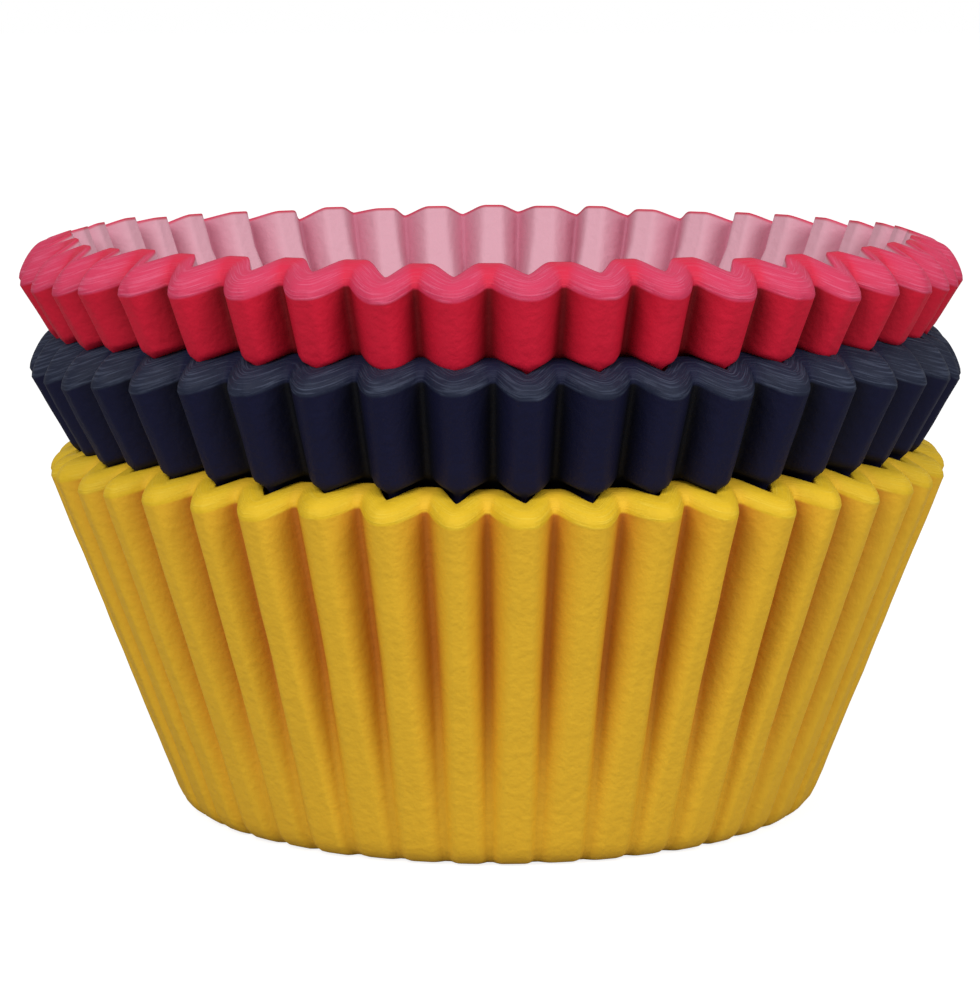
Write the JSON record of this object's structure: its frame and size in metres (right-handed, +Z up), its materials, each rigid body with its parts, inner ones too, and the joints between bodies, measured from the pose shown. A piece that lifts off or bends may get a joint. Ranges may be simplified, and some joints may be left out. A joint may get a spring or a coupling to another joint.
{
  "type": "stack of cupcake liners",
  "caption": "Stack of fluted paper baking cups in tight nests of three colours, each nest pushed down into the one below, open at the top.",
  "frame": {"origin": "middle of the lowest liner's base, on the surface that the stack stands on", "axes": "+Z up out of the cups; X and Y are alike, with a crest 3.2 degrees from -Y towards +X"},
  "size_m": [0.0764, 0.0764, 0.0469],
  "materials": {
    "yellow_paper": "matte greaseproof paper, dyed yellow",
    "navy_paper": "matte greaseproof paper, dyed navy",
    "pink_paper": "matte greaseproof paper, dyed deep pink, paler inside"
  },
  "bodies": {
    "root": {"yellow_liner_01": "yellow_paper", "yellow_liner_02": "yellow_paper", "yellow_liner_03": "yellow_paper", "yellow_liner_04": "yellow_paper", "yellow_liner_05": "yellow_paper", "yellow_liner_06": "yellow_paper", "yellow_liner_07": "yellow_paper", "yellow_liner_08": "yellow_paper", "navy_liner_01": "navy_paper", "navy_liner_02": "navy_paper", "navy_liner_03": "navy_paper", "navy_liner_04": "navy_paper", "navy_liner_05": "navy_paper", "navy_liner_06": "navy_paper", "navy_liner_07": "navy_paper", "navy_liner_08": "navy_paper", "pink_liner_01": "pink_paper", "pink_liner_02": "pink_paper", "pink_liner_03": "pink_paper", "pink_liner_04": "pink_paper", "pink_liner_05": "pink_paper", "pink_liner_06": "pink_paper", "pink_liner_07": "pink_paper", "pink_liner_08": "pink_paper"}
  },
  "joints": []
}
